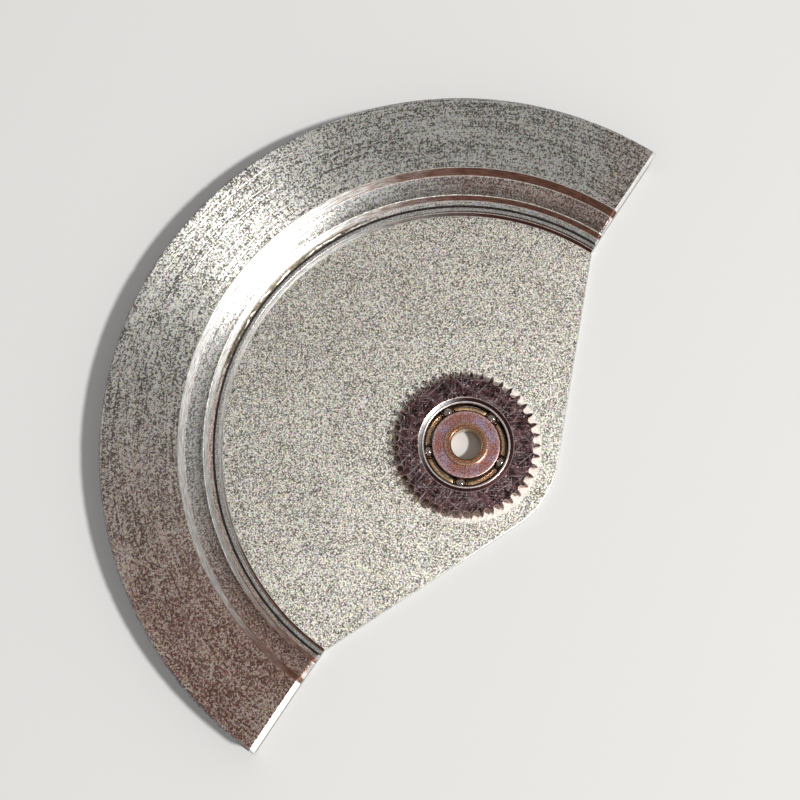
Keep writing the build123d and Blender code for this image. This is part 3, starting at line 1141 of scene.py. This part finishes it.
    def worn(self, outline: Outline, angle: np.ndarray) -> tuple[np.ndarray, np.ndarray]:
        """Sways the burrs by an uneven wave, and nicks the rim's upper bevel where another wave is high.

        Args:
            outline: The section.
            angle: The angle of each of its points at each copy, in radians.

        Returns:
            Radius and height of the points, in metres.
        """
        radius, height = (np.repeat(values[None, :], len(angle), 0) for values in outline.points.T)
        burrs = np.array([zone is Zone.GILT_EDGE for zone in outline.zones])
        height += np.where(burrs, self.burr / 2 * MM * waver(angle, seed=3, slowest=9, waves=30), 0)
        radius += np.where(burrs, self.burr_sway * MM * waver(angle, seed=4, slowest=9, waves=30), 0)
        rim = np.abs(radius - (self.outer_r - self.rim_bevel / 2) * MM) < self.rim_bevel * MM
        wave = waver(angle, seed=5, slowest=40, waves=40)
        nick = np.clip(wave - self.nick_level, 0, 1) * self.nick_depth * MM
        radius -= np.where(rim & (height > self.nick_z * MM), nick, 0)
        return radius, height

    def finishes(self, outline: Outline, copies: int) -> np.ndarray:
        """The finish of each face: the surface's own, and bright on the cut's bevels.

        The lower half of a bevel is bright on every step, its upper half on the outer band alone, and the
        walls keep their own finish.

        Args:
            outline: The section.
            copies: How many times it stands on the path.

        Returns:
            The finishes, one row for each stretch of the path.
        """
        zones = np.array(outline.zones, dtype=object)[None, :].repeat(copies - 1, 0)
        open_side = np.array([zone is not Zone.STEP_WALL for zone in outline.zones])
        for row, above in enumerate((self.ledge_inner_z - 0.01, self.middle_outer_z + 0.01)):
            bright = np.flatnonzero((outline.points[:, 1] > above * MM) & open_side)
            zones[np.ix_([row, -1 - row], bright)] = Zone.CUT_END
        return zones

    def build(self) -> bpy.types.Object:
        """Carries the section half a turn up to the straight cut, and bevels the cut's edges.

        At either end a copy stands at the cut, one half way up the bevel and one at its top. Each point's angle
        there is the arcsine of its distance from the cut's line over its radius.

        Returns:
            The object.
        """
        outline = self.section()
        r, z = outline.points.T
        rise = np.array([0.0, 0.5, 1.0])
        reach = np.concatenate([rise, np.ones(self.copies), rise[::-1]])
        widths = np.repeat(self.end_bevels, len(reach) // 2) * MM
        slopes = np.repeat(self.end_slopes, len(reach) // 2)
        from_axis = (self.cut_y * MM + reach * widths)[:, None]
        near = np.arcsin(from_axis[:3] / r)
        far = math.pi - np.arcsin(from_axis[-3:] / r)
        inner = np.linspace(near[-1].max() + self.first_step, far[0].min() - self.first_step, self.copies)
        angle = np.concatenate([near, np.repeat(inner[:, None], len(r), 1), far])
        radius, height = self.worn(outline, angle)
        share, top = self.bevels(r, z)
        drop = np.clip(share - reach[:, None], 0, None) * (widths * slopes)[:, None]
        height = np.where(drop > 0, np.minimum(height, top - drop), height)
        grid = revolve(np.stack([radius, height], -1), angle)
        piece = Piece("stepped_weight", "heavy_segment", "rotor", "weight_metal")
        return piece.wrap(grid, self.finishes(outline, len(angle)), False, Zone.CUT_FACE)


@dataclass
class Plate:
    """The thin carrier plate: a half disc with a pointed hub, a raised rim and a tongue in the weight.

    Sizes are in millimetres. A name in _r is a distance from the axis and one in _z a height. The rim goes up
    from its foot by a wall to its neck and step, and its lip meets the weight at the joint.
    """

    cut_y: float = CUT_Y
    joint_r: float = JOINT_R
    lip_r: float = 8.575
    step_r: float = 8.56
    neck_r: float = 8.535
    foot_r: float = 8.49
    tongue_r: float = TONGUE_R
    hub_r: float = 3.29
    bore_r: float = BODY_R
    recess_r: float = FLANGE_R
    face_r: float = 2.4
    top_z: float = PLATE_Z
    lip_z: float = -0.11
    step_z: float = -0.20
    neck_z: float = -0.225
    seam_z: float = -0.125
    far_z: float = -0.62
    tongue_z: float = TONGUE_Z
    recess_z: float = -0.56
    lip_bevel: float = 0.035
    edge_break: float = 0.04
    face_step: float = 0.03
    line: float = 0.03
    held_copies: int = 600
    edge_copies: int = 200
    hub_copies: int = 240
    first_step: float = 0.003

    def held_side(self) -> Outline:
        """The section where the weight holds the plate, up to the recess under the bearing.

        Returns:
            Its outline.
        """
        display = Zone.DISPLAY_SIDE
        corners = [
            Corner(self.foot_r - self.line, self.top_z, Zone.PLATE_EDGE),
            Corner(self.foot_r, self.top_z, Zone.LIP_WALL, 0.012),
            Corner(self.neck_r, self.neck_z, Zone.GILT_EDGE, 0.006),
            Corner(self.step_r, self.step_z, Zone.LIP_WALL, 0.006),
            Corner(self.lip_r, self.lip_z, Zone.PLATE_LIP, 0.010),
            Corner(self.joint_r - self.lip_bevel, self.lip_z, Zone.SEAM, 0.008),
            Corner(self.joint_r, self.seam_z, display),
            Corner(self.joint_r, self.tongue_z, display),
            Corner(self.tongue_r, self.tongue_z, display),
            Corner(self.tongue_r, self.far_z, display),
            Corner(self.recess_r, self.far_z, display),
        ]
        outline = soften(corners, 3)
        return Outline(outline.points[:-1], outline.zones[:-1])

    def edge_angles(self) -> tuple[float, float]:
        """A straight edge's start above the X axis, and how far round from there it touches the hub."""
        return math.asin(self.cut_y / self.lip_r), math.acos(self.hub_r / self.lip_r)

    def free_distance(self, angle: np.ndarray) -> np.ndarray:
        """Distance of the free edge from the axis.

        The hub is an arc. Each straight edge touches the arc where its own normal points, so its distance is
        the hub's radius over the cosine of the angle from that normal, up to the weight's end.

        Args:
            angle: Angles on the free side, in radians.

        Returns:
            The distance at each angle, in millimetres.
        """
        tip, turn = self.edge_angles()
        down = np.abs(np.angle(np.exp(1j * (angle + math.pi / 2))))
        normal = math.pi / 2 + tip - turn
        return self.hub_r / np.cos(np.clip(down - normal, 0, None))

    def free_side(self, angle: np.ndarray, count: int) -> np.ndarray:
        """The section at each angle of the free edge: two softened corners.

        A corner is a quarter of an ellipse as deep and as wide as the edge's break. A point stands just inside
        each of the two faces.

        Args:
            angle: The angles, in radians.
            count: How many points each section has.

        Returns:
            Radius and height of the section's points at each angle, in metres.
        """
        soft, face = self.edge_break, [self.edge_break + self.face_step]
        upper, lower = (count - 2) // 2, count - 2 - (count - 2) // 2
        rise, fall = np.linspace(0, math.pi / 2, upper), np.linspace(0, math.pi / 2, lower)
        inset = np.concatenate([face, soft * (1 - np.sin(rise)), soft * (1 - np.cos(fall)), face])
        above = self.top_z - soft * (1 - np.cos(rise))
        below = self.far_z + soft * (1 - np.sin(fall))
        height = np.concatenate([[self.top_z], above, below, [self.far_z]])
        r = self.free_distance(angle)[:, None] - inset
        return np.stack(np.broadcast_arrays(r, height), -1) * MM

    def build(self) -> bpy.types.Object:
        """Joins the weight's side and the free side of the section into one closed surface.

        Returns:
            The object.
        """
        outline = self.held_side()
        count = len(outline.points)
        tip, turn = self.edge_angles()
        ends = np.arcsin(self.cut_y * MM / np.maximum(outline.points[:, 0], self.lip_r * MM))[None, :]
        spread = np.linspace(tip + self.first_step, math.pi - tip - self.first_step, self.held_copies)
        held = np.concatenate([ends, np.repeat(spread[:, None], count, 1), math.pi - ends])
        first = math.pi - tip + turn
        last = 3 * math.pi - first
        edge = np.linspace(math.pi - tip, first, self.edge_copies)[:-1]
        hub = np.linspace(first, last, self.hub_copies)[:-1]
        free = np.concatenate([edge, hub, np.linspace(last, FULL_TURN + tip, self.edge_copies)])
        angle = np.concatenate([held, np.repeat(free[:, None], count, 1)])
        outside = np.concatenate([np.repeat(outline.points[None], len(held), 0), self.free_side(free, count)])
        inside = np.array(
            [
                (self.recess_r, self.far_z),
                (self.recess_r, self.recess_z),
                (self.bore_r, self.recess_z),
                (self.bore_r, self.top_z),
                (self.face_r, self.top_z),
            ]
        )
        section = np.concatenate([outside, np.repeat(inside[None] * MM, len(angle), 0)], 1)
        angle = np.concatenate([angle, np.repeat(angle[:, :1], len(inside), 1)], 1)
        zones = outline.zones + [Zone.DISPLAY_SIDE] * 3 + [Zone.PLATE_FACE] * 2
        faces = np.array(zones, dtype=object)[None, :].repeat(len(angle), 0)
        faces[len(held) - 1 :, : count - 1] = Zone.PLATE_EDGE
        faces[len(held) - 1 :, count - 1] = Zone.DISPLAY_SIDE
        piece = Piece("carrier_plate", "rotor_plate", "rotor", "plate_nickel")
        return piece.wrap(revolve(section, angle), faces)


@dataclass
class Gear:
    """The gear: 42 pointed teeth with rounded gaps, on a web that stands clear of the plate.

    Sizes are in millimetres. A name in _r is a distance from the axis and one in _z a height. The tooth's
    shares are its width over the pitch, at the flank's foot and at its top. The sink is the bevelled opening
    round the bearing, and its edge is given by steps outwards from sink_r and down from the face.
    """

    teeth: int = 42
    tip_r: float = 2.59
    flank_top_r: float = 2.46
    flank_foot_r: float = 2.375
    root_r: float = 2.33
    first_gap: float = -52.6
    share_foot: float = 0.43
    share_top: float = 0.40
    tip_land: float = 0.022
    bulge: float = 0.008
    face_z: float = 0.02
    web: float = 0.26
    web_edge: float = 0.04
    middle_r: float = 2.12
    boss_r: float = 2.06
    seat_r: float = BODY_R
    neck_r: float = NECK_R
    sink_r: float = 1.68
    sink_depth: float = 0.07
    sink_edge: tuple[Span, ...] = ((-0.028, 0.014), (-0.004, 0.001), (0.012, 0.0), (0.035, 0.0))
    plate_z: float = PLATE_Z
    shoulder_z: float = SHOULDER_Z
    edge: float = 0.013

    def tooth(self) -> tuple[np.ndarray, np.ndarray]:
        """Angle from the tooth's middle and radius of the points of one tooth and the gap after it.

        A flank is straight, the ogive above it is an arc through a slightly bulged middle, and the gap is an
        arc through its root.

        Returns:
            The angles in radians and the radii in millimetres.
        """
        pitch = FULL_TURN / self.teeth
        foot, shoulder = self.share_foot * pitch / 2, self.share_top * pitch / 2
        land = self.tip_land / self.tip_r / 2
        bulge_r = (self.flank_top_r + self.tip_r) / 2
        middle = (shoulder + land) / 2 + self.bulge / bulge_r
        t = np.linspace(0, 1, 8)
        bow = 4 * t * (1 - t)
        ogive_a = shoulder + (land - shoulder) * t + (middle - (shoulder + land) / 2) * bow
        ogive_r = self.flank_top_r + (self.tip_r - self.flank_top_r) * t
        flank_a = np.linspace(foot, shoulder, 4)[:-1]
        flank_r = np.linspace(self.flank_foot_r, self.flank_top_r, 4)[:-1]
        g = np.linspace(0, 1, 11)[1:-1]
        gap_a = foot + (pitch - 2 * foot) * g
        gap_r = self.flank_foot_r - (self.flank_foot_r - self.root_r) * 4 * g * (1 - g)
        angle = np.concatenate([-flank_a, -ogive_a, ogive_a[::-1], flank_a[::-1], gap_a])
        radius = np.concatenate([flank_r, ogive_r, ogive_r[::-1], flank_r[::-1], gap_r])
        return angle, radius

    def build(self) -> bpy.types.Object:
        """Stacks circles and copies of the tooth outline, and joins each to the next.

        The outline at the two faces is moved inwards, square to its own run, by the bevel's width.

        Returns:
            The object.
        """
        pitch = FULL_TURN / self.teeth
        one_a, one_r = self.tooth()
        middles = math.radians(self.first_gap) + (np.arange(self.teeth) + 0.5) * pitch
        angle = (middles[:, None] + one_a[None, :]).ravel()
        circle = np.stack([np.cos(angle), np.sin(angle)])
        tooth = np.tile(one_r, self.teeth) * circle
        run = np.roll(tooth, -1, 1) - np.roll(tooth, 1, 1)
        run /= np.hypot(*run)
        inset = tooth + np.stack([-run[1], run[0]]) * self.edge
        face, back, web_r = self.face_z, self.face_z - self.web, self.root_r - self.web_edge
        steel, flank, worn = Zone.GEAR_FACE, Zone.GEAR_FLANK, Zone.TOOTH_EDGE
        edge = [(circle * (self.sink_r + out), face - down, steel) for out, down in self.sink_edge]
        rings = [
            (circle * self.neck_r, self.shoulder_z, flank),
            (circle * self.neck_r, face - self.sink_depth, Zone.GEAR_SINK),
            (*edge[0][:2], worn),
            *edge[1:],
            (circle * self.middle_r, face, steel),
            (circle * web_r, face, steel),
            (inset, face, worn),
            (tooth, face - self.edge, flank),
            (tooth, back + self.edge, worn),
            (inset, back, flank),
            (circle * web_r, back, flank),
            (circle * self.boss_r, back, flank),
            (circle * self.boss_r, self.plate_z, flank),
            (circle * self.seat_r, self.plate_z, flank),
            (circle * self.seat_r, self.shoulder_z, flank),
        ]
        grid = np.stack([np.stack([*ring, np.full(len(angle), z)], -1) for ring, z, _ in rings], 1) * MM
        piece = Piece("toothed_wheel", "winding_gear", "rotor", "gear_steel")
        return piece.wrap(grid, [zone for *_, zone in rings])


@dataclass
class Bearing:
    """The ball bearing: outer ring, core, cone, cage and five balls.

    Sizes are in millimetres. A name in _r is a distance from the axis, apart from ball_r and pocket_r, which
    are radii of their own, and one in _z is a height. finger_soft gives the points of a cage finger's softened
    edge, away from its pocket and down from its top, as shares of the finger's height above the ball's middle.
    """

    balls: int = 5
    ball_r: float = 0.23
    ball_copies: int = 48
    pitch_r: float = 1.33
    ball_z: float = -0.31
    first_ball: float = -10.5
    play: float = 0.01
    lip_r: float = 1.465
    lip_bevel: Span = (0.030, 0.032)
    far_bevel: float = 0.035
    neck_r: float = NECK_R
    neck_bevel: float = 0.018
    body_r: float = BODY_R
    shoulder_z: float = SHOULDER_Z
    flange_r: float = FLANGE_R
    flange: float = 0.08
    far_z: float = -0.64
    core_r: float = 1.18
    stem_r: float = 0.94
    bore_r: float = 0.53
    bore_break: float = 0.05
    collar_r: float = 0.77
    collar_z: float = 0.10
    cage_in_r: float = 1.262
    cage_out_r: float = 1.40
    cage_top_z: float = -0.29
    cage_far_z: float = -0.63
    cage_edge: float = 0.015
    pocket_r: float = 0.26
    finger_soft: tuple[Span, ...] = ((1.0, 0.0), (0.62, 0.12), (0.28, 0.38))
    copies: int = 240

    def apex(self, side: float) -> float:
        """Radius at a V race's bottom, where its flanks of 45 degrees meet. Side 1 is outer, -1 is inner."""
        return self.pitch_r + side * (self.ball_r + self.play) * math.sqrt(2)

    def turn(self, corners: list[Corner], piece: Piece) -> bpy.types.Object:
        """Turns a section into a whole ring.

        Args:
            corners: The section.
            piece: What it becomes.

        Returns:
            The object.
        """
        outline = soften(corners, 5)
        angle = np.linspace(0, FULL_TURN, self.copies, endpoint=False)
        return piece.wrap(revolve(outline.points, angle), outline.zones)

    def ring(self) -> bpy.types.Object:
        """The outer ring, with its lip, neck, shoulder and flange.

        Returns:
            The object.
        """
        apex = self.apex(1)
        flank = apex - self.lip_r
        race, lip, soft = Zone.RACE, Zone.RING_LIP, 0.02
        across, down = self.lip_bevel
        top = self.far_z + self.flange
        corners = [
            Corner(self.lip_r, self.far_z + self.far_bevel, race, soft),
            Corner(self.lip_r, self.ball_z - flank, race, 0.015),
            Corner(apex, self.ball_z, race, 0.01),
            Corner(self.lip_r, self.ball_z + flank, race, 0.015),
            Corner(self.lip_r, -down, lip, 0.014),
            Corner(self.lip_r + across, 0, lip, 0.014),
            Corner(self.neck_r - self.neck_bevel, 0, lip, 0.010),
            Corner(self.neck_r, -self.neck_bevel, race, 0.010),
            Corner(self.neck_r, self.shoulder_z, race),
            Corner(self.body_r, self.shoulder_z, race),
            Corner(self.body_r, top, race),
            Corner(self.flange_r, top, race, soft),
            Corner(self.flange_r, self.far_z, race, soft),
            Corner(self.lip_r + self.far_bevel, self.far_z, race, soft),
        ]
        return self.turn(corners, Piece("race_ring", "bearing_outer_ring", "rotor", "ring_steel"))

    def core(self) -> bpy.types.Object:
        """The core: seat face, rounded collar, bore and the upper half of the inner race.

        Returns:
            The object.
        """
        apex = self.apex(-1)
        flank = self.core_r - apex
        bore = self.bore_r + self.bore_break
        corners = [
            Corner(self.collar_r, self.collar_z, Zone.COLLAR, 0.05),
            Corner(self.collar_r, 0, Zone.TINT, 0.015),
            Corner(self.core_r, 0, Zone.TINT, 0.03),
            Corner(self.core_r, self.ball_z + flank, Zone.RACE, 0.015),
            Corner(apex, self.ball_z, Zone.RACE),
            Corner(self.stem_r, self.ball_z, Zone.RACE),
            Corner(self.stem_r, self.far_z, Zone.RACE),
            Corner(bore, self.far_z, Zone.BORE, 0.02),
            Corner(self.bore_r, self.far_z + self.bore_break, Zone.BORE, 0.02),
            Corner(self.bore_r, self.collar_z - self.bore_break, Zone.BORE, 0.02),
            Corner(bore, self.collar_z, Zone.COLLAR, 0.02),
        ]
        return self.turn(corners, Piece("race_core", "bearing_core", "inner_race", "core_steel"))

    def cone(self) -> bpy.types.Object:
        """The cone: the lower half of the inner race, on the core's stem.

        Returns:
            The object.
        """
        apex = self.apex(-1)
        corners = [
            Corner(self.stem_r, self.ball_z, Zone.RACE),
            Corner(apex, self.ball_z, Zone.RACE),
            Corner(self.core_r, self.ball_z - (self.core_r - apex), Zone.RACE, 0.015),
            Corner(self.core_r, self.far_z, Zone.TINT, 0.03),
            Corner(self.stem_r, self.far_z, Zone.RACE),
        ]
        return self.turn(corners, Piece("race_cone", "bearing_cone", "inner_race", "core_steel"))

    def cage(self) -> bpy.types.Object:
        """The crown cage: a ring whose top dips round every ball.

        A pocket is as wide as the ball and its play, and its floor is half a circle under the ball. A finger
        between two pockets is flat on top with softened edges.

        Returns:
            The object.
        """
        dip = np.linspace(-math.pi / 2, math.pi / 2, 21)
        soft = np.array(self.finger_soft) * (self.cage_top_z - self.ball_z)
        lead = self.pocket_r + soft[:, 0]
        side = np.concatenate([-lead, self.pocket_r * np.sin(dip), lead[::-1]])
        fall = self.cage_top_z - soft[:, 1]
        high = np.concatenate([fall, self.ball_z - self.pocket_r * np.cos(dip), fall[::-1]])
        share = np.linspace(0, 1, 9)[1:-1]
        pocket = np.arcsin(side[:, None] / np.array([self.cage_in_r, self.cage_out_r]))
        step = FULL_TURN / self.balls
        finger = pocket[-1] + share[:, None] * (step - 2 * pocket[-1])
        across = np.concatenate([pocket, finger])
        starts = math.radians(self.first_ball) + step * np.arange(self.balls)
        angle = (starts[:, None, None] + across[None]).reshape(-1, 2)
        top = np.tile(np.concatenate([high, np.full(len(share), self.cage_top_z)]), self.balls)
        low = np.full(len(top), self.cage_far_z)
        inner, outer, edge, near_edge = self.cage_in_r, self.cage_out_r, self.cage_edge, self.cage_edge * 0.3
        loop = [
            (inner, low, 0),
            (inner, top - edge, 0),
            (inner + near_edge, top - near_edge, 0),
            (inner + edge, top, 0),
            (outer - edge, top, 1),
            (outer - near_edge, top - near_edge, 1),
            (outer, top - edge, 1),
            (outer, low, 1),
        ]
        columns = [np.stack([r * np.cos(angle[:, k]), r * np.sin(angle[:, k]), z], -1) for r, z, k in loop]
        piece = Piece("crown_cage", "ball_cage", "cage", "cage_brass")
        return piece.wrap(np.stack(columns, 1) * MM, [Zone.BRASS] * len(loop))

    def ball(self, number: int) -> bpy.types.Object:
        """One ball, its two poles closed.

        Its points are cos(rise) cos(round), cos(rise) sin(round) and sin(rise) times its radius.

        Args:
            number: The ball's number, from 1.

        Returns:
            The object.
        """
        place = math.radians(self.first_ball) + (number - 1) * FULL_TURN / self.balls
        centre = np.array([self.pitch_r * math.cos(place), self.pitch_r * math.sin(place), self.ball_z])
        half = self.ball_copies // 2
        about = np.linspace(0, FULL_TURN, self.ball_copies, endpoint=False)[:, None]
        rise = np.linspace(-math.pi / 2, math.pi / 2, half + 1)[None, :]
        parts = (np.cos(rise) * np.cos(about), np.cos(rise) * np.sin(about), np.sin(rise))
        grid = (centre + self.ball_r * np.stack(np.broadcast_arrays(*parts), -1)) * MM
        piece = Piece(f"bearing_ball_{number}", f"ball_{number}", f"ball_{number}", "ball_steel")
        return piece.wrap(grid, [Zone.BALL] * half, closed=False)

    def build(self) -> list[bpy.types.Object]:
        """Builds every piece of the bearing."""
        balls = [self.ball(n) for n in range(1, self.balls + 1)]
        return [self.ring(), self.core(), self.cone(), self.cage(), *balls]


@dataclass
class Studio:
    """The floor, the light and the camera. Sizes are in millimetres and angles in degrees.

    The key light is a soft box, given by its turn round the axis and its rise above the floor. The camera is
    given by its place, its way of looking, its up and its focal length in pixels of the frame.
    """

    floor_z: float = -0.662
    floor_size: float = 900.0
    floor_colour: Colour = (0.80, 0.79, 0.77)
    floor_rough: float = 0.9
    sky: float = 0.36
    key_turn: float = -79.0
    key_rise: float = 58.0
    key_distance: float = 260.0
    key_size: float = 24.0
    key_power: float = 0.50
    camera_place: tuple[float, float, float] = (-8.07, -1.31, 43.54)
    camera_way: tuple[float, float, float] = (0.1818, 0.0918, -0.9790)
    camera_up: tuple[float, float, float] = (0.8105, 0.5498, 0.2021)
    focal_px: float = 1276.0
    frame_px: float = 800.0
    sensor: float = 36.0
    clip: Span = (0.5, 5000.0)

    def floor(self) -> bpy.types.Object:
        """A plain pale floor at the height that the rotor lies on.

        Returns:
            The floor.
        """
        half = self.floor_size / 2 * MM
        mesh = bpy.data.meshes.new("floor")
        corners = [(-half, -half), (half, -half), (half, half), (-half, half)]
        mesh.from_pydata([(x, y, self.floor_z * MM) for x, y in corners], [], [[0, 1, 2, 3]])
        graph = Graph("plain_pale_floor")
        graph.colour(self.floor_colour)
        graph.roughness(self.floor_rough)
        mesh.materials.append(graph.material)
        floor = bpy.data.objects.new("floor", mesh)
        bpy.context.scene.collection.objects.link(floor)
        return floor

    def light(self) -> None:
        """An even sky and one soft box, high on the side of the bearing."""
        world = bpy.data.worlds.new("even_sky")
        world.use_nodes = True
        background = world.node_tree.nodes["Background"]
        background.inputs["Color"].default_value = (1.0, 1.0, 1.0, 1.0)
        background.inputs["Strength"].default_value = self.sky
        bpy.context.scene.world = world
        turn, rise = math.radians(self.key_turn), math.radians(self.key_rise)
        way = Vector((math.cos(turn) * math.cos(rise), math.sin(turn) * math.cos(rise), math.sin(rise)))
        lamp = bpy.data.lights.new("soft_box", "AREA")
        lamp.shape = "DISK"
        lamp.size = self.key_size * MM
        lamp.energy = self.key_power
        box = bpy.data.objects.new("soft_box", lamp)
        box.location = way * self.key_distance * MM
        box.rotation_mode = "QUATERNION"
        box.rotation_quaternion = way.to_track_quat("Z", "Y")
        bpy.context.scene.collection.objects.link(box)

    def camera(self) -> None:
        """A camera where the photograph's was."""
        data = bpy.data.cameras.new("camera")
        data.sensor_width = self.sensor
        data.lens = self.focal_px / self.frame_px * self.sensor
        data.clip_start, data.clip_end = (distance * MM for distance in self.clip)
        back = -Vector(self.camera_way).normalized()
        up = Vector(self.camera_up)
        up = (up - up.dot(back) * back).normalized()
        turn = Matrix((up.cross(back), up, back)).transposed()
        camera = bpy.data.objects.new("camera", data)
        camera.matrix_world = Matrix.Translation(Vector(self.camera_place) * MM) @ turn.to_4x4()
        bpy.context.scene.collection.objects.link(camera)
        bpy.context.scene.camera = camera

    def build(self) -> None:
        """Sets the stage."""
        self.floor()
        self.light()
        self.camera()
        bpy.context.scene.view_settings.view_transform = "Standard"


def main() -> None:
    """Builds the rotor's pieces in order, then the studio."""
    logging.basicConfig(level=logging.INFO, format="%(message)s")
    for part in (Weight(), Plate(), Gear(), Bearing(), Studio()):
        part.build()


if __name__ == "__main__":
    main()
